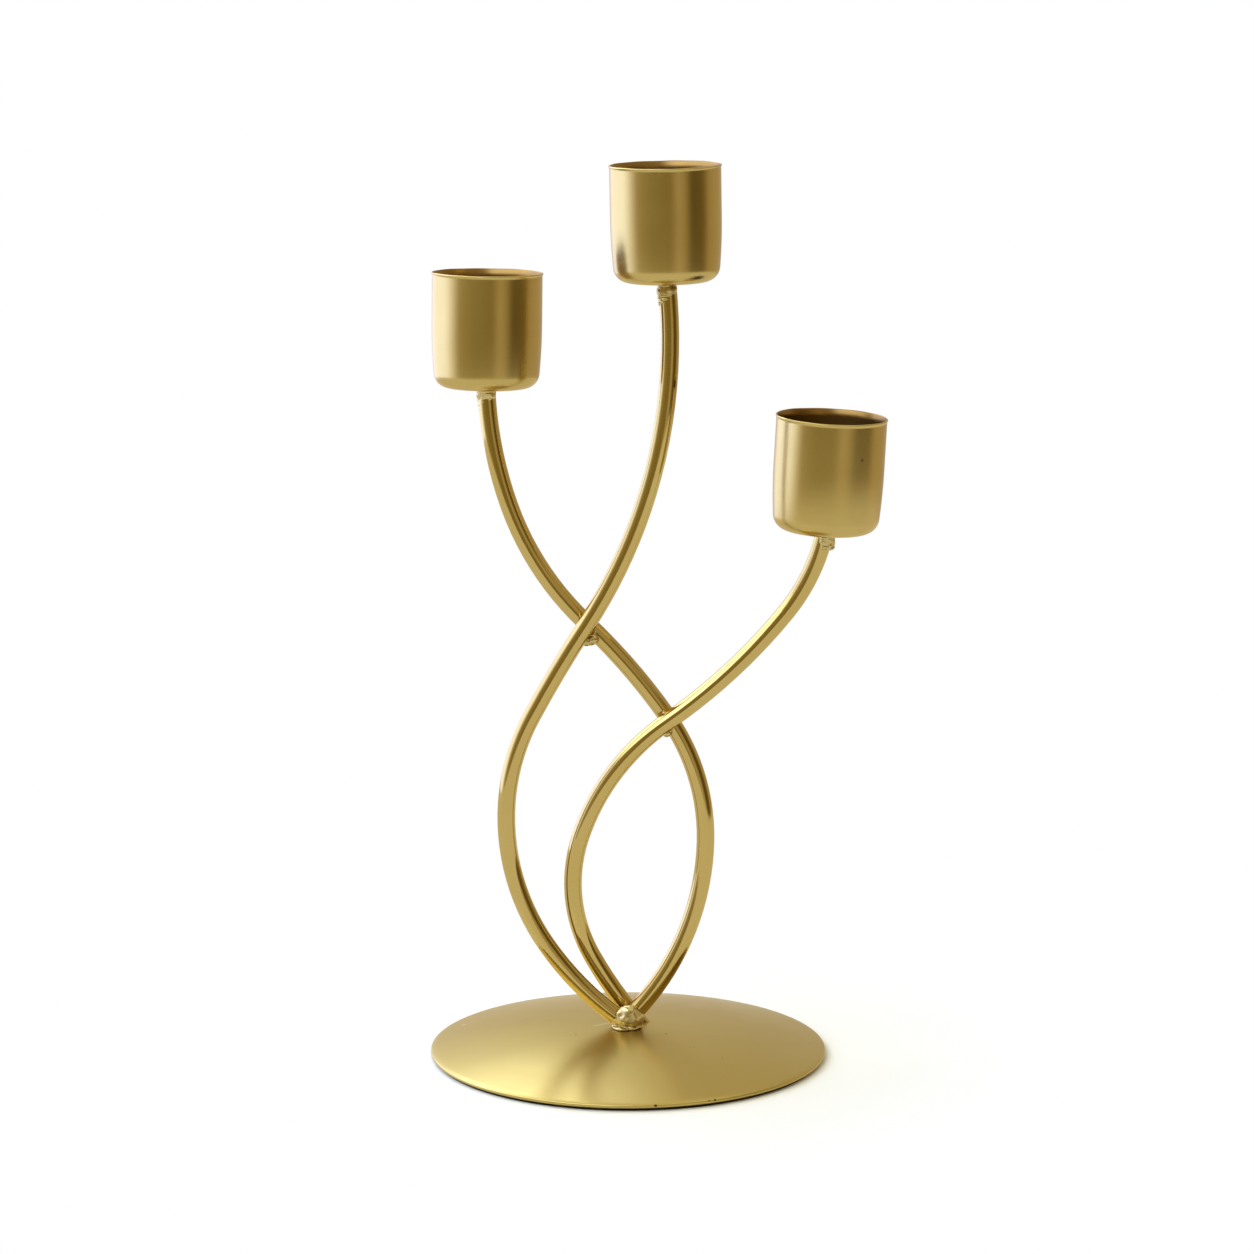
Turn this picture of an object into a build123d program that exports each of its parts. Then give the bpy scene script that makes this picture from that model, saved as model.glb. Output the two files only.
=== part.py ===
from build123d import *
import os
from math import cos, hypot, radians, sin, sqrt, tan

# Three-arm table candelabra of bent wire, in millimetres.
# The origin is the centre of the base, on the table. +Z is up and +X is to the right.
# -Y is the front: there the centre and right arms pass before the left arm.

# Overall sizes
overall_height = 225.0
base_diameter = 100.0

# Base plate: a shallow pressed dome with a turned-down edge
crown_height = 7.2
base_sheet = 1.0
base_edge_height = 1.7
base_edge_radius = 0.9

# Wire of the arms, and the weld metal left between two crossing wires
wire_diameter = 4.5
crossing_gap = 0.15

# Candle cups: thin pressed cups with a straight mouth, a drawn-in foot and a small flared rim
cup_height = 28.5
cup_diameter = 27.3
cup_wall = 0.6
cup_draw_height = 16.0
cup_draw_in = 0.9
cup_corner_radius = 3.8
rim_height = 0.9
rim_flare = 0.2

# Places of the cups: x of the underside, drop below the centre cup, and leans in degrees
left_cup_x = -35.0
centre_cup_x = 9.5
right_cup_x = 48.5
left_cup_drop = 27.0
right_cup_drop = 61.0
left_cup_leans = {"right": 0.8, "forward": -1.5}
centre_cup_leans = {"right": -1.0, "forward": 0.0}
right_cup_leans = {"right": 2.8, "forward": 0.7}

# Where the arms cross in the front view, as (x, z)
upper_crossing = (-10.5, 110.5)
lower_crossing = (10.0, 86.5)

# Feet of the arms in the front view, as (x, z), and how steeply each leaves, in degrees from +X
left_foot = (1.5, 10.5)
centre_foot = (-2.0, 9.0)
right_foot = (2.0, 8.0)
left_foot_angle = 47.0
centre_foot_angle = 143.0
right_foot_angle = 129.0

# Depths of the feet, and the lean of the centre arm towards the front in degrees
left_foot_y = -0.3
centre_foot_y = -0.9
right_foot_step = 4.4
centre_arm_lean = 0.6

# Places below the crossings where the bend of an arm changes, as (x, z)
left_belly = (19.5, 55.0)
centre_heel = (-20.5, 28.5)
centre_belly = (-30.5, 62.5)
centre_waist = (-24.0, 87.5)
right_heel = (-9.0, 24.5)
right_belly = (-12.0, 56.0)

# Shoulders of the arms: the shares of the way across and up from the last crossing to the cup
left_shoulder_shares = (0.775, 0.5)
centre_shoulder_shares = (0.775, 0.395)
right_shoulder_shares = (0.755, 0.575)

# Weld metal
base_bead_radius = 3.4
toe_bead_radius = 2.4
back_bead_radius = 2.2
upper_web_radius = 2.0
lower_bead_radius = 1.4
collar_height = 3.6
collar_thickness = 0.35
collar_spread = 0.8

# Worked out from the sizes above
base_radius = base_diameter / 2
wire_radius = wire_diameter / 2
cup_radius = cup_diameter / 2
wire_pitch = wire_diameter + crossing_gap


def slant(first, second):
    """Depth at any height on the straight line through two (y, z) places."""
    slope = (second[0] - first[0]) / (second[1] - first[1])
    return lambda z: first[0] + slope * (z - first[1])


def centre_arm_y(z):
    """Depth of the centre arm's wire at a height."""
    return centre_foot_y - tan(radians(centre_arm_lean)) * (z - centre_foot[1])


# The left arm passes one wire behind each arm that crosses it
left_arm_y = slant(
    (left_foot_y, left_foot[1]),
    (centre_arm_y(upper_crossing[1]) + wire_pitch, upper_crossing[1]))
right_arm_y = slant(
    (left_foot_y + right_foot_step, right_foot[1]),
    (left_arm_y(lower_crossing[1]) - wire_pitch, lower_crossing[1]))


def cup_place(x, z, y_at, leans):
    """Place of a cup: the middle of its underside, with its two leans."""
    return Location((x, y_at(z), z), (leans["forward"], leans["right"], 0))


def centre_cup_base():
    """Height of the centre cup's underside that brings its rim to the overall height."""
    right = tan(radians(centre_cup_leans["right"]))
    forward = tan(radians(centre_cup_leans["forward"]))
    lean = hypot(right, forward)
    return overall_height - (cup_height + lean * (cup_radius + rim_flare)) / sqrt(1 + lean**2)


centre_cup_z = centre_cup_base()
left_cup_z = centre_cup_z - left_cup_drop
right_cup_z = centre_cup_z - right_cup_drop
left_place = cup_place(left_cup_x, left_cup_z, left_arm_y, left_cup_leans)
centre_place = cup_place(centre_cup_x, centre_cup_z, centre_arm_y, centre_cup_leans)
right_place = cup_place(right_cup_x, right_cup_z, right_arm_y, right_cup_leans)


def turned(section):
    """Solid of revolution about Z from a half section drawn as (radius, height)."""
    return revolve(Plane.XZ * section, Axis.Z)


def softened(section, corner, radius):
    """Half section with one corner rounded."""
    vertex = section.vertices().sort_by_distance((*corner, 0))[0]
    return fillet(vertex, radius)


def dome(radius, top, edge_height, edge_radius):
    """Solid dome on the table: a spherical crown, a rounded shoulder and an upright edge."""
    rise = top - edge_height
    sphere_radius = (radius**2 + rise**2) / (2 * rise)
    crown = RadiusArc((0, top), (radius, edge_height), sphere_radius)
    edge = Polyline((radius, edge_height), (radius, 0), (0, 0), (0, top))
    section = make_face(Curve() + [crown, edge])
    return turned(softened(section, (radius, edge_height), edge_radius))


def base_envelope():
    """Outside of the base plate, full down to the table."""
    return dome(base_radius, crown_height, base_edge_height, base_edge_radius)


def base_plate():
    """Pressed plate, hollow underneath, that stands on its turned-down edge."""
    inner_edge = base_edge_height - base_sheet
    inner_radius = min(base_edge_radius, inner_edge) / 2
    hollow = dome(base_radius - base_sheet, crown_height - base_sheet, inner_edge, inner_radius)
    return base_envelope() - hollow


def cup_form(inset):
    """Turned outside of a cup, or its inside when inset by the wall."""
    mouth_radius = cup_radius - inset
    foot_radius = mouth_radius - cup_draw_in
    rim_radius = mouth_radius + rim_flare
    neck = cup_height - rim_height
    drawn = TangentArc((mouth_radius, cup_draw_height), (foot_radius, inset), tangent=(0, -1))
    upright = Line((mouth_radius, cup_draw_height), (mouth_radius, neck))
    flare = Line((mouth_radius, neck), (rim_radius, cup_height))
    rest = Polyline((rim_radius, cup_height), (0, cup_height), (0, inset), (foot_radius, inset))
    section = make_face(Curve() + [drawn, upright, flare, rest])
    return turned(softened(section, (foot_radius, inset), cup_corner_radius - inset))


def cup(place):
    """Thin cup, open at the top."""
    return place * (cup_form(0) - cup_form(cup_wall))


def shoulder(crossing, cup_seat, shares):
    """Front-view place of a shoulder between an arm's last crossing and its cup."""
    across = shares[0] * (cup_seat[0] - crossing[0])
    up = shares[1] * (cup_seat[1] - crossing[1])
    return (crossing[0] + across, crossing[1] + up)


def arm_path(angle, y_at, joints, reaches_base):
    """Path of one arm: tangent arcs through its joints, ending in a stub inside the cup.

    The arm lies in its own leaning plane, so its depth follows its height. An arm that
    reaches the base also starts with a straight stub inside the base.
    """
    places = [Vector(x, y_at(z), z) for x, z in joints]
    rise = sin(radians(angle))
    heading = Vector(cos(radians(angle)), (y_at(1) - y_at(0)) * rise, rise).normalized()
    edges = []
    if reaches_base:
        stub = heading * ((places[0].Z - crown_height / 2) / heading.Z)
        edges.append(Edge.make_line(places[0] - stub, places[0]))
    for start, end in zip(places, places[1:]):
        edges.append(Edge.make_tangent_arc(start, heading, end))
        heading = edges[-1] % 1
    edges.append(Edge.make_line(places[-1], places[-1] + heading * wire_diameter))
    return Wire(edges)


def arm(path, place):
    """Round wire along a path, cut to sit face to face on the base and under its cup."""
    section = Plane(origin=path @ 0, z_dir=path % 0) * Circle(wire_radius)
    return sweep(section, path) - base_envelope() - place * cup_form(0)


def edge_below(path, crossing):
    """The stretch of an arm that ends at a crossing."""
    return min(
        path.edges(),
        key=lambda edge: hypot((edge @ 1).X - crossing[0], (edge @ 1).Z - crossing[1]))


def lower_notch(first, second, crossing):
    """Middle of the notch under a crossing, where the outlines of the two wires meet."""
    stretches = [edge_below(path, crossing) for path in (first, second)]
    headings = [stretch % 1 for stretch in stretches]
    middle = (stretches[0] @ 1 + stretches[1] @ 1) / 2
    half_angle = radians(headings[0].get_angle(headings[1])) / 2
    down = -(headings[0] + headings[1]).normalized()
    return middle + down * (wire_radius / sin(half_angle))


def largest(shape):
    """The biggest solid that a cut leaves, without its crumbs."""
    return shape.solids().sort_by(SortBy.VOLUME)[-1]


def crossing_weld(first, second, crossing, bead_radius, arms):
    """Bead in the notch under a crossing, cut to the round surfaces of the two wires."""
    bead = Pos(lower_notch(first, second, crossing)) * Sphere(bead_radius)
    return largest(bead - arms[0] - arms[1])


def base_weld(arms):
    """Lump that joins the three feet to the crown, built up from overlapping beads."""
    left_end = Vector(left_foot[0], left_foot_y, left_foot[1])
    centre_end = Vector(centre_foot[0], centre_foot_y, centre_foot[1])
    right_end = Vector(right_foot[0], right_arm_y(right_foot[1]), right_foot[1])
    front = (left_end + centre_end) / 2 - Vector(0, wire_radius / 2, 0)
    under_left = Vector(left_end.X, left_end.Y, crown_height + toe_bead_radius / 2)
    back = (left_end + right_end) / 2
    lump = Pos(front) * Sphere(base_bead_radius)
    lump += Pos(under_left) * Sphere(toe_bead_radius)
    lump += Pos(back) * Sphere(back_bead_radius)
    return largest(lump - arms[0] - arms[1] - arms[2] - base_envelope())


def cup_weld(path, place, its_arm):
    """Collar of weld round the tip of an arm, spreading a little where it meets the cup."""
    collar_radius = wire_radius + collar_thickness
    spread_radius = collar_radius + collar_spread
    overrun = wire_radius
    side = Polyline(
        (0, -collar_height), (wire_radius - collar_thickness, -collar_height),
        (collar_radius, -collar_height + 2 * collar_thickness), (collar_radius, -collar_spread))
    spread = RadiusArc((collar_radius, -collar_spread), (spread_radius, 0), -collar_spread)
    head = Polyline((spread_radius, 0), (spread_radius, overrun), (0, overrun), (0, -collar_height))
    tip = path.edges()[-1]
    collar = Plane(origin=tip @ 0, z_dir=tip % 0) * turned(make_face(Curve() + [side, spread, head]))
    return largest(collar - its_arm - place * cup_form(0))


left_seat = (left_cup_x, left_cup_z)
centre_seat = (centre_cup_x, centre_cup_z)
right_seat = (right_cup_x, right_cup_z)
left_shoulder = shoulder(upper_crossing, left_seat, left_shoulder_shares)
centre_shoulder = shoulder(upper_crossing, centre_seat, centre_shoulder_shares)
right_shoulder = shoulder(lower_crossing, right_seat, right_shoulder_shares)
left_path = arm_path(
    left_foot_angle, left_arm_y,
    [left_foot, left_belly, lower_crossing, upper_crossing, left_shoulder, left_seat],
    reaches_base=False)
centre_path = arm_path(
    centre_foot_angle, centre_arm_y,
    [centre_foot, centre_heel, centre_belly, centre_waist, upper_crossing, centre_shoulder,
     centre_seat],
    reaches_base=True)
right_path = arm_path(
    right_foot_angle, right_arm_y,
    [right_foot, right_heel, right_belly, lower_crossing, right_shoulder, right_seat],
    reaches_base=True)
left_arm = arm(left_path, left_place)
centre_arm = arm(centre_path, centre_place)
right_arm = arm(right_path, right_place)

pieces = {
    "base_plate": base_plate(),
    "left_arm": left_arm,
    "centre_arm": centre_arm,
    "right_arm": right_arm,
    "left_cup": cup(left_place),
    "centre_cup": cup(centre_place),
    "right_cup": cup(right_place),
    "base_weld": base_weld([left_arm, centre_arm, right_arm]),
    "upper_crossing_weld": crossing_weld(
        left_path, centre_path, upper_crossing, upper_web_radius, [left_arm, centre_arm]),
    "lower_crossing_weld": crossing_weld(
        left_path, right_path, lower_crossing, lower_bead_radius, [left_arm, right_arm]),
    "left_cup_weld": cup_weld(left_path, left_place, left_arm),
    "centre_cup_weld": cup_weld(centre_path, centre_place, centre_arm),
    "right_cup_weld": cup_weld(right_path, right_place, right_arm),
}

os.makedirs("parts", exist_ok=True)
for name, piece in pieces.items():
    export_step(piece, f"parts/{name}.step")
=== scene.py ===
import math

import bmesh
import bpy
from mathutils import Matrix, Vector, noise


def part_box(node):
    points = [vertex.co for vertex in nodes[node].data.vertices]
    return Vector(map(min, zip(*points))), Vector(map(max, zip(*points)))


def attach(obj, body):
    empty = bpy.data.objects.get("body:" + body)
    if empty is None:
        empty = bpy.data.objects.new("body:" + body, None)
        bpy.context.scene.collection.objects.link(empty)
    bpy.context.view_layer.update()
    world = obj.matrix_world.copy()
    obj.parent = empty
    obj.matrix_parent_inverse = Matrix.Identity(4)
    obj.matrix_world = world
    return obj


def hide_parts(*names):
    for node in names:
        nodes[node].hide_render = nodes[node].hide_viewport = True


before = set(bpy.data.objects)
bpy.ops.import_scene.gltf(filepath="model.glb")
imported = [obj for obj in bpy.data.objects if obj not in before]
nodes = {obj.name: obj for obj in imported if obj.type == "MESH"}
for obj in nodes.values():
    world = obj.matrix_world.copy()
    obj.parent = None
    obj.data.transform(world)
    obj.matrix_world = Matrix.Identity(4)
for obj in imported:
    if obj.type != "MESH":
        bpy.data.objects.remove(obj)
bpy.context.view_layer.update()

# Shapes are written in millimetres, and the frame is in metres
MM = 0.001

# Sizes repeated from the part's source, in millimetres
CUP_HEIGHT = 28.5
CUP_RADIUS = 13.65
CUP_WALL = 0.6
BASE_RADIUS = 50.0
BASE_HEIGHT = 7.2
BASE_EDGE = 1.7
BASE_SHEET = 1.0

# Middle of each cup's underside in millimetres, its two leans in degrees, and the phase of
# its unevenness
CUPS = {
    "left": {"seat": (-35.0, 4.44, 169.26), "right": 0.8, "forward": -1.5, "phase": 0.6},
    "centre": {"seat": (9.5, -2.86, 196.26), "right": -1.0, "forward": 0.0, "phase": 2.4},
    "right": {"seat": (48.5, -6.89, 135.26), "right": 2.8, "forward": 0.7, "phase": 4.1},
}

# Seed of each collar's crinkles and the number of lumps that run down the wire below it
COLLARS = {
    "left": {"seed": 11, "drips": 6},
    "centre": {"seed": 13, "drips": 7},
    "right": {"seed": 17, "drips": 3},
}

# Foot, lower wall and lip of a cup, in millimetres and degrees
CORNER_RADIUS = 3.8
CORNER_TILT = 4.9
CORNER_TOP = 3.475
DRAWN_DEPTH = 0.9
DRAWN_HEIGHT = 16.0
WALL_HEIGHTS = (4.6, 6.0, 8.0, 10.0, 12.0, 14.0, 16.0)
FLARE = ((0.0, 1.0), (0.0, 0.8), (0.06, 0.6))
LIP_RADIUS = 0.22
LIP_OUT = 0.2
LIP_INNER_DROP = 0.95
CUP_STEP = 0.9
CUP_SEGMENTS = 160

# Unevenness of a pressed cup, in millimetres
OUT_OF_ROUND = 0.03
WAVE = 0.008
RIPPLE = 0.005
RIM_DROP = 0.04
RIM_ZONE = 2.0
STILL_RADIUS = 3.0

# Crown, beaded edge and hollow of the base plate, as radius and height in millimetres
CROWN_REACH = 49.4
CROWN_STEPS = 48
HOLLOW_REACH = 48.2
HOLLOW_STEPS = 24
BEAD_MIDDLE = (49.44, 1.24)
BEAD_RADIUS = 0.53
FOOT_RECESS = [(49.15, 0.69), (48.95, 0.5), (48.85, 0.0), (48.5, 0.0), (48.4, 0.15), (48.35, 0.5)]
BASE_SEGMENTS = 256

# Unevenness of the plate: height and width of its swells and of its dents, and how far it
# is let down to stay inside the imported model
SWELL, SWELL_SIZE = 0.05, 17.0
DENT, DENT_SIZE = 0.012, 5.0
LET_DOWN = 0.04

# Collars of weld metal, in millimetres, with the turn from drip to drip in radians
COLLAR_BALLS = 9
COLLAR_RADIUS = 2.36
COLLAR_SWAY = 0.12
COLLAR_SPREAD = 0.6
COLLAR_TALL = 0.75
COLLAR_OVERLAP = 0.2
COLLAR_FOOT = 0.3
DRIP_TURN = 2.4
DRIP_START, DRIP_STEP = 0.35, 0.36
DRIP_OUT, DRIP_DRAW = 0.75, 0.06
DRIP_RADIUS = 1.62
DRIP_TALL, DRIP_THIN = 0.85, 0.05

# Skins of the welds: voxel they are melted with, height and width of their lumps and of
# their crinkles, in millimetres, and the seed of both
BASE_WELD_SKIN = {
    "voxel": 0.14, "lump": 0.46, "lump_size": 2.1, "crinkle": 0.06, "crinkle_size": 1.6, "seed": 5}
WEB_SKIN = {
    "voxel": 0.1, "lump": 0.16, "lump_size": 1.2, "crinkle": 0.07, "crinkle_size": 0.9, "seed": 5}
BEAD_SKIN = {
    "voxel": 0.1, "lump": 0.08, "lump_size": 0.9, "crinkle": 0.02, "crinkle_size": 0.6, "seed": 7}
COLLAR_SKIN = {
    "voxel": 0.11, "lump": 0.16, "lump_size": 1.5, "crinkle": 0.34, "crinkle_size": 2.0}

# Share of a weld facet that is cut off, and how a seed moves the noise of its skin
FACET_CUT = 0.85
SEED_STEPS = (3.1, 1.7, 2.3)

# Noise of the paint, in features per metre
DRIFT_SCALE = 45.0
FLAKE_SCALE = 7000.0
NIB_SCALE = 240.0
PEEL_SCALE = 1500.0
SHEEN_SCALE = 90.0

# Where each noise starts to count and where it counts in full; a spot's edge counts from
# its outside in, and only the few cells above the rarity have a spot
DRIFT_RANGE = (0.3, 0.7)
FLAKE_RANGE = (0.35, 0.75)
SHEEN_RANGE = (0.3, 0.7)
SPOT_EDGE = (0.05, 0.02)
SPOT_RARITY = (0.84, 0.88)
# Pointiness over which the painted shade of weld crevices fades in
CREVICE_SHADE_RANGE = (0.40, 0.49)
# Ambient occlusion over which painted shade where parts meet fades in, and the samples it takes
AO_SHADE_RANGE = (0.15, 0.62)
AO_SHADE_SAMPLES = 6

# Depths of the paint's relief, in metres
PEEL_DEPTH = 0.00001
FLAKE_DEPTH = 0.000003
NIB_DEPTH = 0.00003
NIB_STRENGTH = 0.5

# Colours of the paints and of what lies on them, with the painted shade of crevices, of places where
# parts meet and of the gap under the base's edge
GOLD = (0.51, 0.37, 0.108)
GOLD_DEEP = (0.49, 0.35, 0.094)
BASE_GOLD = (0.51, 0.385, 0.105)
BASE_GOLD_DEEP = (0.49, 0.360, 0.092)
# Darker gold for the cups' insides: painted shade, for the light that doesn't reach into a cup
SHADED_INNER_GOLD = (0.28, 0.155, 0.03)
SHADED_INNER_GOLD_DEEP = (0.25, 0.135, 0.025)
WELD_GOLD = (0.58, 0.46, 0.19)
WELD_GOLD_DEEP = (0.50, 0.38, 0.13)
# Painted shade in the hollows of the weld metal
CREVICE_SHADE = (0.10, 0.065, 0.02)
MARK = (0.07, 0.045, 0.015)
# Painted shade where parts meet and in narrow gaps, laid by ambient occlusion
AO_SHADE = (0.05, 0.032, 0.01)
SCUFF = (0.75, 0.64, 0.38)
# Painted shadow in the gap under the base's beaded edge
FOOT_SHADOW = (0.03, 0.02, 0.008)
FLAKE_SHADE = 0.72
NIB_GAIN, NIB_LIFT = 1.25, 0.06

# Surface of the paints
METALLIC = 0.94
PAINT_IOR = 1.5
SPECULAR_TINT = (0.85, 0.72, 0.5, 1.0)
COAT_WEIGHT = 0.3
COAT_ROUGHNESS_MOST = 0.28
ROUGHNESS_DRIFT = (-0.01, 0.02)

# Heights in millimetres between which the base's foot turns dark with painted shadow, the shade of
# the gap under its beaded edge
FOOT_SHADOW_LOW, FOOT_SHADOW_HIGH = 0.60, 0.80

# Small marks as centre and radius in millimetres: dots on the base and chips on its edge, a
# pit in the right cup, and a pale spot and a faint scratch on the base
BASE_MARKS = [
    ((9.59, -6.79, 6.9), 0.42),
    ((-13.12, -7.03, 6.71), 0.36),
    ((16.5, -15.4, 6.1), 0.25),
    ((23.4, -21.4, 5.0), 0.28),
    ((6.7, -49.6, 1.5), 0.55),
    ((21.1, -45.1, 1.5), 0.4),
    ((19.7, -45.7, 1.5), 0.3),
]
CUP_MARKS = [((56.9, -18.9, 154.5), 0.55)]
PALE_SPOT = ((-42.3, 15.5, 2.7), 0.7)
SCRATCH_START = (-8.64, -0.1, 7.03)
SCRATCH_END = (-4.58, 2.26, 7.14)
SCRATCH_STEPS = 8
SCRATCH_RADIUS = 0.4

# Floor: half its side and its drop in millimetres, its two close tones and the scale of
# their pattern, its own glow, and the distances in metres between which it fades to white
FLOOR_HALF = 6000.0
FLOOR_DROP = 0.02
FLOOR_TONES = ((0.81, 0.785, 0.65), (0.83, 0.805, 0.67))
MOTTLE_SCALE = 25.0
FLOOR_LIFT = 0.03
FLOOR_FADE = (0.053, 0.10)

# Tent in metres: an upright wall with a dome on it, and the place its directions start from
TENT_RADIUS = 0.62
TENT_WALL = 0.3
TENT_RISE = 0.75
TENT_RINGS = 14
TENT_SEGMENTS = 96
TENT_CENTRE = (0.0, 0.0, 0.11)
TENT_STRENGTH = 5.0

# Strength of the world as light on things that aren't shiny, and as it is seen
WORLD_LIGHT, WORLD_SEEN = 0.9, 1.0

# Colour of the tent's wall by direction, from behind the object round by its left side:
# share of the turn, colour
WALL_STOPS = [
    (0.000, (0.72, 0.70, 0.66)),
    (0.015, (0.74, 0.72, 0.70)),
    (0.030, (0.80, 0.80, 0.85)),
    (0.060, (1.15, 1.25, 1.80)),
    (0.095, (1.98, 2.34, 4.45)),
    (0.240, (1.98, 2.34, 4.45)),
    (0.275, (1.50, 1.62, 2.50)),
    (0.330, (0.50, 0.42, 0.24)),
    (0.420, (0.34, 0.265, 0.08)),
    (0.530, (0.32, 0.25, 0.08)),
    (0.570, (0.68, 0.59, 0.46)),
    (0.610, (0.54, 0.45, 0.27)),
    (0.650, (0.13, 0.09, 0.02)),
    (0.730, (0.21, 0.15, 0.04)),
    (0.775, (0.62, 0.50, 0.32)),
    (0.880, (0.68, 0.60, 0.50)),
    (0.950, (0.70, 0.69, 0.72)),
]

# Upper tent: its bright and dim sides, the slant and limits of the border between them, and
# the upward shares of the direction between which the sky and then the ceiling take over
SKY_DIM = (0.60, 0.53, 0.40)
SKY_BRIGHT = (3.20, 3.70, 5.00)
CEILING = (1.10, 1.05, 0.85)
SKY_SLANT = -0.3
SKY_BORDER = (-0.31, -0.13)
SKY_START = (0.32, 0.46)
CEILING_START = (0.62, 0.85)

# Camera: lens and sensor in millimetres, place in metres, pitch below level in degrees, and
# the nearest and furthest it sees in metres
LENS = 117.45
SENSOR = 36.0
SHIFT = (-0.0008, -0.0001)
CAMERA_PLACE = (0.0, -1.0, 0.2994)
CAMERA_PITCH = 10.73
CLIP_NEAR, CLIP_FAR = 0.01, 20.0


# Materials

def new_material(name):
    """Material with its node tree and its Principled shader."""
    material = bpy.data.materials.new(name)
    material.use_nodes = True
    tree = material.node_tree
    return material, tree, tree.nodes["Principled BSDF"]


def glowing_material(name):
    """Material without a shader: the material, its node tree and its output."""
    material, tree, shader = new_material(name)
    tree.nodes.remove(shader)
    return material, tree, tree.nodes["Material Output"]


def add(tree, kind, **settings):
    """Adds one node and sets its properties."""
    node = tree.nodes.new(kind)
    for key, value in settings.items():
        setattr(node, key, value)
    return node


def object_place(tree):
    """Object coordinates, in metres from the origin of the frame."""
    return add(tree, "ShaderNodeTexCoord").outputs["Object"]


def grain(tree, place, scale, detail=2.0, roughness=0.5):
    """Noise texture with its scale in features per metre."""
    texture = add(tree, "ShaderNodeTexNoise")
    texture.inputs["Scale"].default_value = scale
    texture.inputs["Detail"].default_value = detail
    texture.inputs["Roughness"].default_value = roughness
    tree.links.new(place, texture.inputs["Vector"])
    return texture.outputs["Fac"]


def spots(tree, place, scale):
    """Round spots scattered over the surface: 1 in the middle of a spot and 0 outside."""
    cells = add(tree, "ShaderNodeTexVoronoi")
    cells.inputs["Scale"].default_value = scale
    tree.links.new(place, cells.inputs["Vector"])
    edge = add(tree, "ShaderNodeMapRange")
    edge.inputs["From Min"].default_value = SPOT_EDGE[0]
    edge.inputs["From Max"].default_value = SPOT_EDGE[1]
    tree.links.new(cells.outputs["Distance"], edge.inputs["Value"])
    pick = add(tree, "ShaderNodeMapRange")
    pick.inputs["From Min"].default_value = SPOT_RARITY[0]
    pick.inputs["From Max"].default_value = SPOT_RARITY[1]
    tree.links.new(cells.outputs["Color"], pick.inputs["Value"])
    both = add(tree, "ShaderNodeMath", operation="MULTIPLY")
    tree.links.new(edge.outputs["Result"], both.inputs[0])
    tree.links.new(pick.outputs["Result"], both.inputs[1])
    return both.outputs["Value"]


def ranged(tree, value, low, high, from_low=0.0, from_high=1.0):
    """Maps a value smoothly to a range."""
    node = add(tree, "ShaderNodeMapRange", interpolation_type="SMOOTHSTEP")
    node.inputs["From Min"].default_value = from_low
    node.inputs["From Max"].default_value = from_high
    node.inputs["To Min"].default_value = low
    node.inputs["To Max"].default_value = high
    tree.links.new(value, node.inputs["Value"])
    return node.outputs["Result"]


def blend_colours(tree, factor, first, second):
    """Mixes two colours; each is a colour or a socket."""
    mix = add(tree, "ShaderNodeMix", data_type="RGBA")
    tree.links.new(factor, mix.inputs["Factor"])
    for key, value in (("A", first), ("B", second)):
        socket = [s for s in mix.inputs if s.name == key and s.type == "RGBA"][0]
        if isinstance(value, tuple):
            socket.default_value = (*value, 1.0)
        else:
            tree.links.new(value, socket)
    return [s for s in mix.outputs if s.type == "RGBA"][0]


def bumps(tree, heights):
    """Chain of bump nodes: each item is (height socket, depth in metres, strength)."""
    normal = None
    for height, depth, strength in heights:
        bump = add(tree, "ShaderNodeBump")
        bump.inputs["Strength"].default_value = strength
        bump.inputs["Distance"].default_value = depth
        tree.links.new(height, bump.inputs["Height"])
        if normal is not None:
            tree.links.new(normal, bump.inputs["Normal"])
        normal = bump.outputs["Normal"]
    return normal


def mark(tree, place, centre, radius):
    """1 inside a small mark on the surface, given in millimetres, and 0 outside."""
    gap = add(tree, "ShaderNodeVectorMath", operation="DISTANCE")
    tree.links.new(place, gap.inputs[0])
    gap.inputs[1].default_value = [c * MM for c in centre]
    return ranged(tree, gap.outputs["Value"], 1.0, 0.0, 0.5 * radius * MM, radius * MM)


def part_of(tree, vector, axis):
    """One part of a vector: X, Y or Z."""
    parts = add(tree, "ShaderNodeSeparateXYZ")
    tree.links.new(vector, parts.inputs["Vector"])
    return parts.outputs[axis]


def clean_tone(tree, place, colour, deep, speck, flakes, nibs):
    """Colour of the paint, with a slight drift, darker flakes and paler nibs."""
    drift = grain(tree, place, DRIFT_SCALE, 3.0)
    tone = blend_colours(tree, ranged(tree, drift, 0.0, 1.0, *DRIFT_RANGE), colour, deep)
    dark = tuple(FLAKE_SHADE * c for c in colour)
    fleck = ranged(tree, flakes, 0.0, speck, *FLAKE_RANGE)
    tone = blend_colours(tree, fleck, tone, dark)
    pale = tuple(min(1.0, NIB_GAIN * c + NIB_LIFT) for c in colour)
    return blend_colours(tree, nibs, tone, pale)


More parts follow.
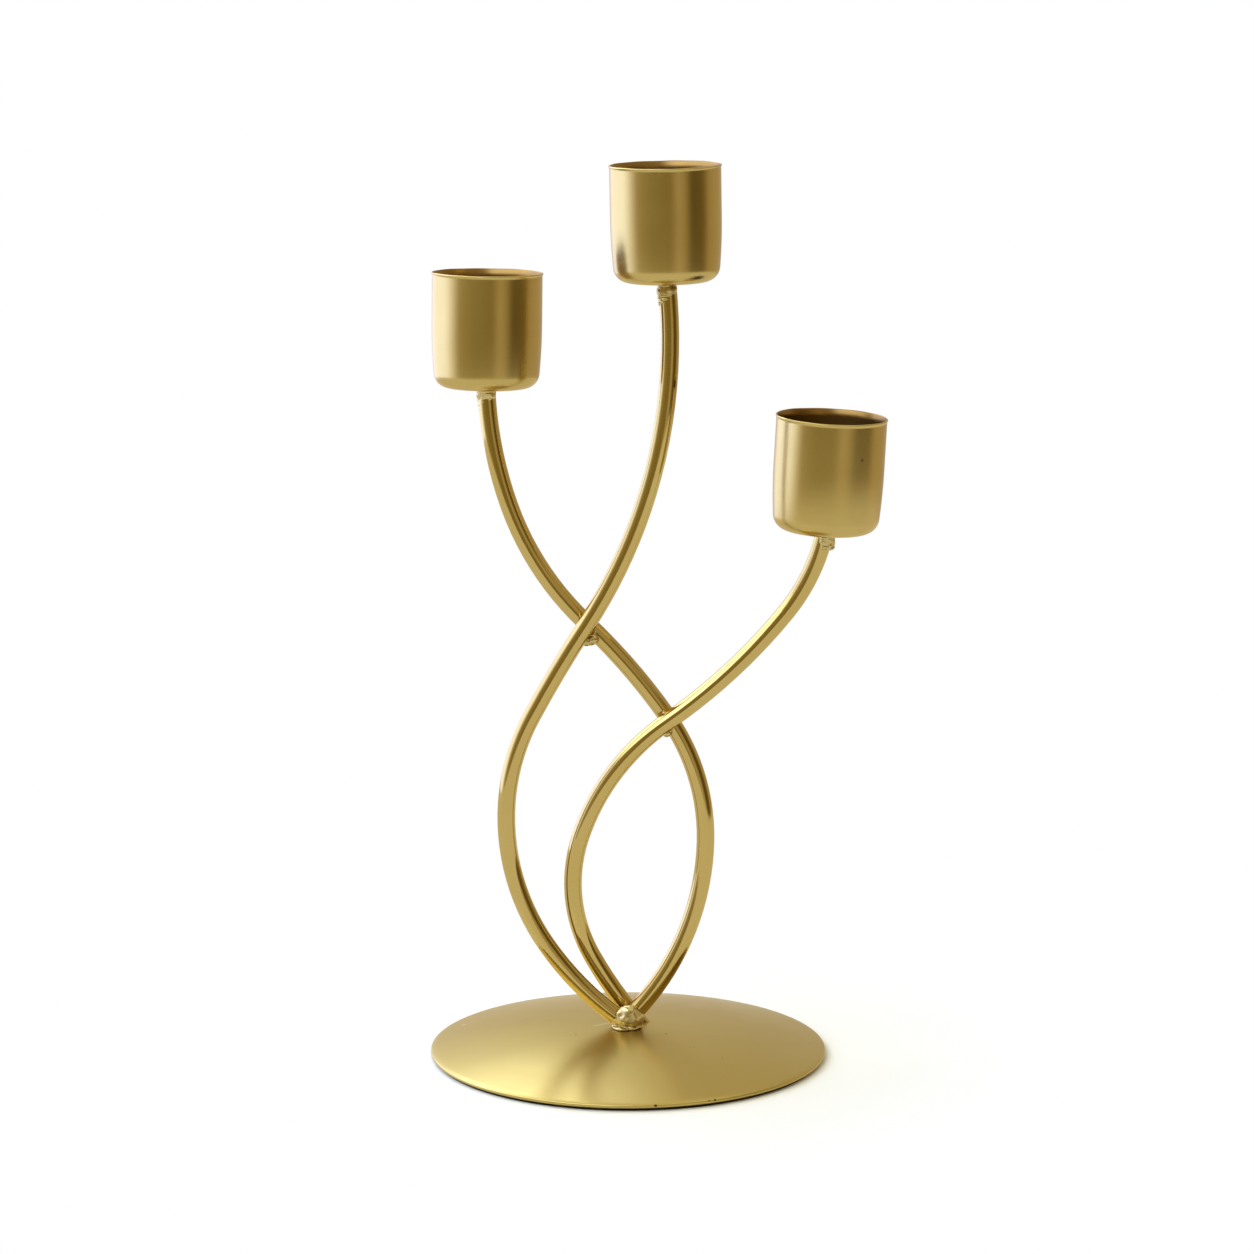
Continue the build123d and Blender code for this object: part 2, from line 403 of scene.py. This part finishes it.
def marks_and_shade_tone(tree, place, tone, marks=(), scuffs=(), grime=0.0, crevices=False, dark_foot=False):
    """The paint's colour with marks and pale scuffs on it, and painted shade in crevices, where
    parts meet (from ambient occlusion) and under the base's edge.
    """
    # Painted shade: darker where the surface is hollow
    if crevices:
        hollow = add(tree, "ShaderNodeNewGeometry").outputs["Pointiness"]
        tone = blend_colours(tree, ranged(tree, hollow, 1.0, 0.0, *CREVICE_SHADE_RANGE), tone, CREVICE_SHADE)
    for centre, radius in marks:
        tone = blend_colours(tree, mark(tree, place, centre, radius), tone, MARK)
    # Painted shade: darker where ambient occlusion finds parts close by
    if grime > 0:
        hidden = add(tree, "ShaderNodeAmbientOcclusion", samples=AO_SHADE_SAMPLES)
        hidden.inputs["Distance"].default_value = grime * MM
        shade = ranged(tree, hidden.outputs["AO"], 1.0, 0.0, *AO_SHADE_RANGE)
        tone = blend_colours(tree, shade, tone, AO_SHADE)
    for centre, radius in scuffs:
        tone = blend_colours(tree, mark(tree, place, centre, radius), tone, SCUFF)
    # Painted shadow: darker low on the base's foot, in the gap under its edge
    if dark_foot:
        height = part_of(tree, place, "Z")
        low = ranged(tree, height, 1.0, 0.0, FOOT_SHADOW_LOW * MM, FOOT_SHADOW_HIGH * MM)
        tone = blend_colours(tree, low, tone, FOOT_SHADOW)
    return tone


def gold_paint(name, colour, deep, roughness, peel, speck, **marks_and_shade):
    """Satin gold metallic paint with flakes, a drift of tone, orange peel, nibs, marks and, where
    asked, painted shade.
    """
    material, tree, shader = new_material(name)
    place = object_place(tree)
    flakes = grain(tree, place, FLAKE_SCALE, 2.0, 0.7)
    nibs = spots(tree, place, NIB_SCALE)
    tone = clean_tone(tree, place, colour, deep, speck, flakes, nibs)
    tone = marks_and_shade_tone(tree, place, tone, **marks_and_shade)
    tree.links.new(tone, shader.inputs["Base Color"])
    sheen = grain(tree, place, SHEEN_SCALE, 2.0)
    low, high = (roughness + drift for drift in ROUGHNESS_DRIFT)
    rough = ranged(tree, sheen, low, high, *SHEEN_RANGE)
    tree.links.new(rough, shader.inputs["Roughness"])
    normal = bumps(tree, [
        (grain(tree, place, PEEL_SCALE, 2.0), PEEL_DEPTH, peel),
        (flakes, FLAKE_DEPTH, 0.5 * peel),
        (nibs, NIB_DEPTH, NIB_STRENGTH)])
    tree.links.new(normal, shader.inputs["Normal"])
    shader.inputs["Metallic"].default_value = METALLIC
    shader.inputs["IOR"].default_value = PAINT_IOR
    shader.inputs["Specular Tint"].default_value = SPECULAR_TINT
    shader.inputs["Coat Weight"].default_value = COAT_WEIGHT
    shader.inputs["Coat Roughness"].default_value = min(COAT_ROUGHNESS_MOST, roughness)
    shader.inputs["Coat IOR"].default_value = PAINT_IOR
    return material


def base_scuffs():
    """The pale spot on the base and the places along its scratch."""
    scuffs = [PALE_SPOT]
    for k in range(SCRATCH_STEPS + 1):
        place = tuple(a + (b - a) * k / SCRATCH_STEPS for a, b in zip(SCRATCH_START, SCRATCH_END))
        scuffs.append((place, SCRATCH_RADIUS))
    return scuffs


# Meshes

def mesh_object(name, verts, faces, material):
    """Smooth mesh object from points in millimetres."""
    mesh = bpy.data.meshes.new(name)
    mesh.from_pydata([Vector(v) * MM for v in verts], [], faces)
    mesh.validate()
    mesh.shade_smooth()
    mesh.materials.append(material)
    obj = bpy.data.objects.new(name, mesh)
    bpy.context.scene.collection.objects.link(obj)
    return obj


def lathe(profile, segments, shift=None):
    """Turned surface from (radius, height) places, as points and faces.

    A place on the axis is one point. shift moves each place by its angle.
    """
    verts, faces, rings = [], [], []
    for radius, height in profile:
        if radius < 1e-9:
            rings.append([len(verts)])
            verts.append((0.0, 0.0, height))
            continue
        ring = []
        for k in range(segments):
            angle = 2 * math.pi * k / segments
            r, z = (radius, height) if shift is None else shift(radius, height, angle)
            ring.append(len(verts))
            verts.append((r * math.cos(angle), r * math.sin(angle), z))
        rings.append(ring)
    for low, high in zip(rings, rings[1:]):
        for k in range(segments):
            n = (k + 1) % segments
            if len(low) == 1 and len(high) > 1:
                faces.append((low[0], high[n], high[k]))
            elif len(high) == 1 and len(low) > 1:
                faces.append((low[k], low[n], high[0]))
            elif len(low) > 1:
                faces.append((low[k], low[n], high[n], high[k]))
    return verts, faces


def arc(centre, radius, start, end, count):
    """Points of an arc in a half section, angles in degrees."""
    points = []
    for k in range(count + 1):
        a = math.radians(start + (end - start) * k / count)
        points.append((centre[0] + radius * math.cos(a), centre[1] + radius * math.sin(a)))
    return points


def spaced(points, step):
    """Adds points along straight runs so that no run is longer than step."""
    result = [points[0]]
    for a, b in zip(points, points[1:]):
        length = math.hypot(b[0] - a[0], b[1] - a[1])
        count = max(1, math.ceil(length / step))
        for k in range(1, count + 1):
            t = k / count
            result.append((a[0] + (b[0] - a[0]) * t, a[1] + (b[1] - a[1]) * t))
    return result


def finished(obj, node):
    """A new piece rides on the root body and stands for a CAD node, which it hides."""
    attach(obj, "root")
    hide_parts(node)
    return obj


# Cups

def place_of_cup(cup):
    """Matrix of a cup from the middle of its underside and its leans."""
    forward = Matrix.Rotation(math.radians(cup["forward"]), 4, "X")
    right = Matrix.Rotation(math.radians(cup["right"]), 4, "Y")
    return Matrix.Translation(Vector(cup["seat"])) @ (forward @ right)


def drawn_in(height):
    """How far the drawn lower wall of a cup stands inside its mouth."""
    return DRAWN_DEPTH * max(0.0, (DRAWN_HEIGHT - height) / DRAWN_HEIGHT) ** 2


def corner_middle():
    """Radius of the middle of the arc that rounds a cup's foot."""
    return CUP_RADIUS - drawn_in(CORNER_TOP) - CORNER_RADIUS * math.cos(math.radians(CORNER_TILT))


def lip_arc(start, end, count):
    """Part of the rounded lip, angles in degrees."""
    middle = (CUP_RADIUS + LIP_OUT - LIP_RADIUS, CUP_HEIGHT - LIP_RADIUS)
    return arc(middle, LIP_RADIUS, start, end, count)


def cup_outside():
    """Half section of a cup's outside, from the middle of its underside to the rim's top."""
    middle = corner_middle()
    points = [(0.0, 0.0), (middle, 0.0)]
    points += arc((middle, CORNER_RADIUS), CORNER_RADIUS, -90, -CORNER_TILT, 16)[1:]
    points += [(CUP_RADIUS - drawn_in(h), h) for h in WALL_HEIGHTS]
    points += [(CUP_RADIUS + out, CUP_HEIGHT - below) for out, below in FLARE]
    points += lip_arc(-50, 110, 10)
    return spaced(points, CUP_STEP)


def cup_inside():
    """Half section of a cup's inside, from the rim down to the middle of its floor."""
    middle = corner_middle()
    inner_radius = CUP_RADIUS - CUP_WALL
    points = lip_arc(110, 180, 4)
    points += [(inner_radius, CUP_HEIGHT - LIP_INNER_DROP)]
    points += [(inner_radius - drawn_in(h), h) for h in reversed(WALL_HEIGHTS)]
    points += reversed(arc((middle, CORNER_RADIUS), CORNER_RADIUS - CUP_WALL, -90, -CORNER_TILT, 12))
    points += [(0.0, CUP_WALL)]
    return spaced(points, CUP_STEP)[1:]


def cup_shift(phase):
    """Slight unevenness of a pressed cup: walls a little out of round, rim a little wavy."""
    def shift(radius, height, angle):
        share = min(1.0, max(0.0, height / CUP_HEIGHT))
        out = OUT_OF_ROUND * math.sin(2 * angle + phase) * share
        out += WAVE * math.sin(5 * angle + 2.1 * phase + 0.15 * height)
        out += RIPPLE * math.sin(9 * angle - 1.3 * phase - 0.22 * height) * share
        out -= (OUT_OF_ROUND + WAVE + RIPPLE) * share
        near_rim = max(0.0, (height - CUP_HEIGHT + RIM_ZONE) / RIM_ZONE)
        wavy = math.sin(3 * angle + phase) * math.sin(7 * angle + phase)
        if radius < STILL_RADIUS:
            out = 0.0
        return radius + out, height - near_rim * RIM_DROP * (1.0 + wavy)
    return shift


def make_cup(key, outer_paint, inner_shaded_paint):
    """One candle cup as a fine turned mesh, its inside in a darker paint that carries painted shade.
    """
    cup = CUPS[key]
    outside = cup_outside()
    verts, faces = lathe(outside + cup_inside(), CUP_SEGMENTS, cup_shift(cup["phase"]))
    place = place_of_cup(cup)
    obj = mesh_object(key + "_cup_shell", [place @ Vector(v) for v in verts], faces, outer_paint)
    obj.data.materials.append(inner_shaded_paint)
    # Faces of the inside get the darker paint, which is painted shade
    for face in obj.data.polygons:
        if face.index // CUP_SEGMENTS >= len(outside) - 1:
            face.material_index = 1
    return finished(obj, key + "_cup")


# Weld metal

def ball(centre, radii, turn=0.0):
    """Ellipsoid as points and faces, in millimetres, turned about the depth axis in degrees."""
    bm = bmesh.new()
    bmesh.ops.create_icosphere(bm, subdivisions=3, radius=1.0)
    rotation = Matrix.Rotation(math.radians(turn), 3, "Y")
    sized = [Vector((v.co.x * radii[0], v.co.y * radii[1], v.co.z * radii[2])) for v in bm.verts]
    verts = [rotation @ v + Vector(centre) for v in sized]
    faces = [tuple(v.index for v in f.verts) for f in bm.faces]
    bm.free()
    return verts, faces


def joined(shapes):
    """Several shapes as one list of points and faces."""
    verts, faces = [], []
    for more_verts, more_faces in shapes:
        start = len(verts)
        verts += list(more_verts)
        faces += [tuple(i + start for i in face) for face in more_faces]
    return verts, faces


def fuse(obj, voxel, material):
    """Melts an object's overlapping shapes into one skin with one material."""
    remesh = obj.modifiers.new("melt", "REMESH")
    remesh.mode = "VOXEL"
    remesh.voxel_size = voxel * MM
    remesh.use_smooth_shade = True
    graph = bpy.context.evaluated_depsgraph_get()
    mesh = bpy.data.meshes.new_from_object(obj.evaluated_get(graph))
    obj.modifiers.clear()
    old = obj.data
    obj.data = mesh
    bpy.data.meshes.remove(old)
    mesh.materials.clear()
    mesh.materials.append(material)


def faceted(p, facets):
    """A point pulled back towards flat facets: each is (middle, direction, depth)."""
    for middle, direction, depth in facets:
        n = Vector(direction).normalized()
        over = n.dot(p - Vector(middle)) - depth
        if over > 0:
            p = p - n * over * FACET_CUT
    return p


def roughen(mesh, skin, facets):
    """Rough weld skin: flat facets cut off, then lumps and crinkles along the normals."""
    normals = [v.normal.copy() for v in mesh.vertices]
    offset = Vector([skin["seed"] * step for step in SEED_STEPS])
    size = skin["crinkle_size"]
    for v, normal in zip(mesh.vertices, normals):
        p = faceted(v.co / MM, facets)
        wave = noise.noise(p / skin["lump_size"] + offset)
        fine = noise.noise(p / size - offset) + 0.5 * noise.noise(2.3 * p / size + offset)
        ridge = 1.0 - 2.0 * abs(noise.noise(p / (1.7 * size) + 2 * offset))
        p = p + normal * (skin["lump"] * wave + skin["crinkle"] * (0.6 * fine + 0.4 * ridge))
        v.co = p * MM
    mesh.shade_smooth()


def weld(name, node, shapes, material, skin, facets=()):
    """A lump of weld metal that stands for a CAD weld."""
    verts, faces = joined(shapes)
    obj = mesh_object(name, verts, faces, material)
    fuse(obj, skin["voxel"], material)
    roughen(obj.data, skin, facets)
    return finished(obj, node)


def make_base_weld(material):
    """Lump that joins the three feet, with a low skirt on the dome."""
    middle = (0.1, -2.9, 10.2)
    shapes = [
        ball(middle, (3.3, 2.7, 3.2)),
        ball((2.3, -1.4, 9.4), (1.7, 2.0, 2.7)),
        ball((-2.5, -1.6, 9.1), (1.8, 1.9, 2.2)),
        ball((-0.4, -2.2, 7.5), (3.8, 3.5, 0.75)),
        ball((1.9, 2.7, 11.0), (1.7, 1.7, 2.1)),
        ball((1.2, 1.2, 8.8), (2.0, 3.0, 2.0)),
    ]
    facets = [
        (middle, (0.2, -1.0, 0.05), 2.2),
        (middle, (0.75, -0.6, 0.3), 2.55),
        (middle, (-0.5, -0.75, 0.5), 2.6),
    ]
    return weld("base_weld_lump", "base_weld", shapes, material, BASE_WELD_SKIN, facets)


def make_upper_crossing_weld(material):
    """Web under the crossing of the left and centre arms."""
    shapes = [
        ball((-9.4, 0.5, 106.6), (2.2, 1.5, 1.5)),
        ball((-8.6, 1.1, 107.6), (1.6, 1.2, 1.5)),
        ball((-10.6, -0.2, 106.2), (1.6, 1.2, 1.2)),
    ]
    return weld("upper_crossing_web", "upper_crossing_weld", shapes, material, WEB_SKIN)


def make_lower_crossing_weld(material):
    """Bead under the crossing of the left and right arms, and a smooth bead above it."""
    shapes = [
        ball((9.6, -0.2, 83.0), (1.2, 1.2, 1.1)),
        ball((9.9, 0.1, 83.6), (1.2, 1.1, 1.0)),
        ball((9.6, -0.1, 87.7), (1.2, 1.3, 0.7), 40.0),
    ]
    return weld("lower_crossing_bead", "lower_crossing_weld", shapes, material, BEAD_SKIN)


def collar_balls(seat, foot, seed):
    """Balls from a collar's foot up to the cup, wider close under the cup."""
    top = seat - Vector((0, 0, COLLAR_OVERLAP))
    shapes = []
    for k in range(COLLAR_BALLS):
        t = k / (COLLAR_BALLS - 1)
        radius = COLLAR_RADIUS + COLLAR_SWAY * math.sin(seed + 5.0 * t)
        radius += COLLAR_SPREAD * max(0.0, t - 0.8) / 0.2
        shapes.append(ball(foot.lerp(top, t), (radius, radius, COLLAR_TALL)))
    return shapes


def drip_balls(seat, foot, seed, count):
    """Lumps that run down the wire from a collar's foot, each smaller than the last."""
    along = (foot - seat).normalized()
    shapes = []
    for k in range(count):
        angle = DRIP_TURN * k + seed
        side = Vector((math.cos(angle), math.sin(angle), 0.0)) * (DRIP_OUT - DRIP_DRAW * k)
        centre = foot + along * (DRIP_START + DRIP_STEP * k) + side
        shapes.append(ball(centre, (DRIP_RADIUS, DRIP_RADIUS, DRIP_TALL - DRIP_THIN * k)))
    return shapes


def make_collar(key, material):
    """Crinkled collar of weld metal between an arm's tip and its cup."""
    seed, drips = COLLARS[key]["seed"], COLLARS[key]["drips"]
    low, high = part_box(key + "_cup_weld")
    low, high = low / MM, high / MM
    seat = Vector(CUPS[key]["seat"])
    middle = (low + high) / 2
    foot = Vector((2 * middle.x - seat.x, 2 * middle.y - seat.y, low.z + COLLAR_FOOT))
    shapes = collar_balls(seat, foot, seed) + drip_balls(seat, foot, seed, drips)
    skin = {**COLLAR_SKIN, "seed": seed}
    return weld(key + "_cup_collar", key + "_cup_weld", shapes, material, skin)


# Base plate

def dome_height(radius, top):
    """Height of the pressed dome at a radius, for a dome that is top high in the middle."""
    rise = BASE_HEIGHT - BASE_EDGE
    sphere = (BASE_RADIUS ** 2 + rise ** 2) / (2 * rise)
    return top - sphere + math.sqrt(sphere ** 2 - radius * radius)


def base_profile():
    """Half section of the pressed plate: crown, beaded edge, and the hollow underneath."""
    points = []
    for k in range(CROWN_STEPS + 1):
        r = CROWN_REACH * k / CROWN_STEPS
        points.append((r, dome_height(r, BASE_HEIGHT)))
    points += arc(BEAD_MIDDLE, BEAD_RADIUS, 78, -82, 18)
    points += FOOT_RECESS
    for k in range(HOLLOW_STEPS, -1, -1):
        r = HOLLOW_REACH * k / HOLLOW_STEPS
        points.append((r, dome_height(r, BASE_HEIGHT - BASE_SHEET)))
    return points


def base_shift(radius, height, angle):
    """Slight unevenness of the pressed plate, none in the middle and at the edge."""
    x, y = radius * math.cos(angle), radius * math.sin(angle)
    share = math.sin(math.pi * min(1.0, radius / BASE_RADIUS))
    lift = SWELL * noise.noise(Vector((x / SWELL_SIZE, y / SWELL_SIZE, 0.4)))
    lift += DENT * noise.noise(Vector((x / DENT_SIZE, y / DENT_SIZE, 3.4)))
    return radius, max(0.0, height + (lift - LET_DOWN) * share)


def make_base(material):
    """Base plate as a fine turned mesh, with its faces turned outwards."""
    verts, faces = lathe(base_profile(), BASE_SEGMENTS, base_shift)
    faces = [tuple(reversed(face)) for face in faces]
    obj = mesh_object("base_plate_pressed", verts, faces, material)
    return finished(obj, "base_plate")


# Studio

def largest(tree, sockets):
    """Largest of several values."""
    value = sockets[0]
    for other in sockets[1:]:
        node = add(tree, "ShaderNodeMath", operation="MAXIMUM")
        tree.links.new(value, node.inputs[0])
        tree.links.new(other, node.inputs[1])
        value = node.outputs["Value"]
    return value


def seen_white(tree):
    """1 for rays from the camera and for rays off or through shiny surfaces, 0 for the rest."""
    rays = add(tree, "ShaderNodeLightPath")
    kinds = ("Is Camera Ray", "Is Glossy Ray", "Is Transmission Ray")
    return largest(tree, [rays.outputs[kind] for kind in kinds])


def lit_floor(tree, place, seen):
    """Floor near the object: a pale diffuse surface with a slight glow of its own."""
    diffuse = add(tree, "ShaderNodeBsdfDiffuse")
    mottle = blend_colours(tree, grain(tree, place, MOTTLE_SCALE, 4.0), *FLOOR_TONES)
    tree.links.new(mottle, diffuse.inputs["Color"])
    lift = add(tree, "ShaderNodeMath", operation="MULTIPLY")
    lift.inputs[1].default_value = FLOOR_LIFT
    tree.links.new(seen, lift.inputs[0])
    glow = add(tree, "ShaderNodeEmission")
    tree.links.new(lift.outputs["Value"], glow.inputs["Strength"])
    both = add(tree, "ShaderNodeAddShader")
    tree.links.new(diffuse.outputs["BSDF"], both.inputs[0])
    tree.links.new(glow.outputs["Emission"], both.inputs[1])
    return both.outputs["Shader"]


def make_floor():
    """Pale floor that keeps the object's shadow and fades to white further out."""
    material, tree, output = glowing_material("pale_floor")
    place = object_place(tree)
    seen = seen_white(tree)
    near = lit_floor(tree, place, seen)
    white = add(tree, "ShaderNodeEmission")
    tree.links.new(seen, white.inputs["Strength"])
    length = add(tree, "ShaderNodeVectorMath", operation="LENGTH")
    tree.links.new(place, length.inputs[0])
    far = ranged(tree, length.outputs["Value"], 0.0, 1.0, *FLOOR_FADE)
    mix = add(tree, "ShaderNodeMixShader")
    tree.links.new(far, mix.inputs["Fac"])
    tree.links.new(near, mix.inputs[1])
    tree.links.new(white.outputs["Emission"], mix.inputs[2])
    tree.links.new(mix.outputs["Shader"], output.inputs["Surface"])
    corners = [(-1, -1), (1, -1), (1, 1), (-1, 1)]
    verts = [(x * FLOOR_HALF, y * FLOOR_HALF, -FLOOR_DROP) for x, y in corners]
    floor = mesh_object("floor", verts, [(0, 1, 2, 3)], material)
    return floor


def direction_from(tree, place, centre):
    """Direction from a centre to a place."""
    away = add(tree, "ShaderNodeVectorMath", operation="SUBTRACT")
    tree.links.new(place, away.inputs[0])
    away.inputs[1].default_value = centre
    unit = add(tree, "ShaderNodeVectorMath", operation="NORMALIZE")
    tree.links.new(away.outputs["Vector"], unit.inputs[0])
    return unit.outputs["Vector"]


def dimmed(colour):
    """A tent colour as a share of the tent's strength, since a ramp holds no more than 1."""
    return tuple(c / TENT_STRENGTH for c in colour)


def wall_tone(tree, direction):
    """Colour of the tent's wall by the turn of the direction."""
    turn = add(tree, "ShaderNodeVectorRotate", rotation_type="Z_AXIS")
    turn.inputs["Angle"].default_value = math.radians(90.0)
    tree.links.new(direction, turn.inputs["Vector"])
    radial = add(tree, "ShaderNodeTexGradient", gradient_type="RADIAL")
    tree.links.new(turn.outputs["Vector"], radial.inputs["Vector"])
    ramp = add(tree, "ShaderNodeValToRGB")
    tree.links.new(radial.outputs["Fac"], ramp.inputs["Fac"])
    closed = WALL_STOPS + [(1.0, WALL_STOPS[0][1])]
    stops = ramp.color_ramp.elements
    while len(stops) < len(closed):
        stops.new(0.5)
    for stop, (share, colour) in zip(stops, closed):
        stop.position = share
        stop.color = (*dimmed(colour), 1.0)
    return ramp.outputs["Color"]


def tent_tone(tree, direction):
    """Colour of the tent by direction: its wall, the sky above it and the ceiling on top."""
    upward = part_of(tree, direction, "Z")
    slant = add(tree, "ShaderNodeMath", operation="MULTIPLY_ADD")
    slant.inputs[1].default_value = SKY_SLANT
    tree.links.new(upward, slant.inputs[0])
    tree.links.new(part_of(tree, direction, "X"), slant.inputs[2])
    across = ranged(tree, slant.outputs["Value"], 1.0, 0.0, *SKY_BORDER)
    sky = blend_colours(tree, across, dimmed(SKY_DIM), dimmed(SKY_BRIGHT))
    high = ranged(tree, upward, 0.0, 1.0, *SKY_START)
    tone = blend_colours(tree, high, wall_tone(tree, direction), sky)
    top = ranged(tree, upward, 0.0, 1.0, *CEILING_START)
    return blend_colours(tree, top, tone, dimmed(CEILING))


def tent_profile():
    """Half section of the tent in millimetres, from the floor to the top of its dome."""
    points = [(TENT_RADIUS, 0.0), (TENT_RADIUS, TENT_WALL / 2)]
    for k in range(TENT_RINGS):
        a = math.pi / 2 * k / TENT_RINGS
        points.append((TENT_RADIUS * math.cos(a), TENT_WALL + TENT_RISE * math.sin(a)))
    points.append((0.0, TENT_WALL + TENT_RISE))
    return [(r / MM, z / MM) for r, z in points]


def make_studio():
    """Round tent with a window side and a card side, which lights the object and shows in its
    reflections but not to the camera."""
    verts, faces = lathe(tent_profile(), TENT_SEGMENTS)
    material, tree, output = glowing_material("studio_tent")
    direction = direction_from(tree, object_place(tree), TENT_CENTRE)
    glow = add(tree, "ShaderNodeEmission")
    glow.inputs["Strength"].default_value = TENT_STRENGTH
    tree.links.new(tent_tone(tree, direction), glow.inputs["Color"])
    tree.links.new(glow.outputs["Emission"], output.inputs["Surface"])
    tent = mesh_object("studio_tent", verts, faces, material)
    tent.visible_camera = False
    tent.visible_shadow = False
    return tent


def make_world():
    """White background for what the camera and the metal see, a little dimmer as light."""
    world = bpy.data.worlds.new("studio")
    bpy.context.scene.world = world
    world.use_nodes = True
    tree = world.node_tree
    background = tree.nodes["Background"]
    strength = ranged(tree, seen_white(tree), WORLD_LIGHT, WORLD_SEEN)
    tree.links.new(strength, background.inputs["Strength"])
    background.inputs["Color"].default_value = (1.0, 1.0, 1.0, 1.0)


def make_camera():
    """Camera at the photograph's viewing angle."""
    data = bpy.data.cameras.new("camera")
    data.lens = LENS
    data.sensor_width = SENSOR
    data.shift_x, data.shift_y = SHIFT
    data.clip_start = CLIP_NEAR
    data.clip_end = CLIP_FAR
    camera = bpy.data.objects.new("camera", data)
    camera.location = CAMERA_PLACE
    camera.rotation_euler = (math.radians(90.0 - CAMERA_PITCH), 0.0, 0.0)
    bpy.context.scene.collection.objects.link(camera)
    bpy.context.scene.camera = camera


def repaint(node, material):
    """Gives a CAD node's slots a better material."""
    for slot in nodes[node].material_slots:
        slot.material = material


# Paints as name, colour, deep tone, roughness, orange peel and share of flakes
# The base's paint has a painted shadow on its foot
base_paint = gold_paint(
    "base_gold", BASE_GOLD, BASE_GOLD_DEEP, 0.30, 0.04, 0.06,
    marks=BASE_MARKS, scuffs=base_scuffs(), dark_foot=True)
# The arms' paint has painted shade where parts meet
arm_paint = gold_paint("arm_gold", GOLD, GOLD_DEEP, 0.085, 0.01, 0.03, grime=2.0)
cup_paint = gold_paint("cup_gold", GOLD, GOLD_DEEP, 0.24, 0.08, 0.10, marks=CUP_MARKS)
# The cups' inside paint is a darker copy of the gold: painted shade
cup_inner_shaded_paint = gold_paint("cup_inner_shaded_gold", SHADED_INNER_GOLD, SHADED_INNER_GOLD_DEEP, 0.30, 0.2, 0.15)
# The weld paint has painted shade in its crevices and where parts meet
weld_paint = gold_paint(
    "weld_gold", WELD_GOLD, WELD_GOLD_DEEP, 0.26, 0.2, 0.12, grime=1.8, crevices=True)

bpy.context.scene.view_settings.view_transform = "Standard"
make_camera()
make_world()
make_floor()
make_studio()
for arm in ("left_arm", "centre_arm", "right_arm"):
    repaint(arm, arm_paint)
make_base(base_paint)
for key in CUPS:
    make_cup(key, cup_paint, cup_inner_shaded_paint)
make_base_weld(weld_paint)
make_upper_crossing_weld(weld_paint)
make_lower_crossing_weld(weld_paint)
for key in COLLARS:
    make_collar(key, weld_paint)
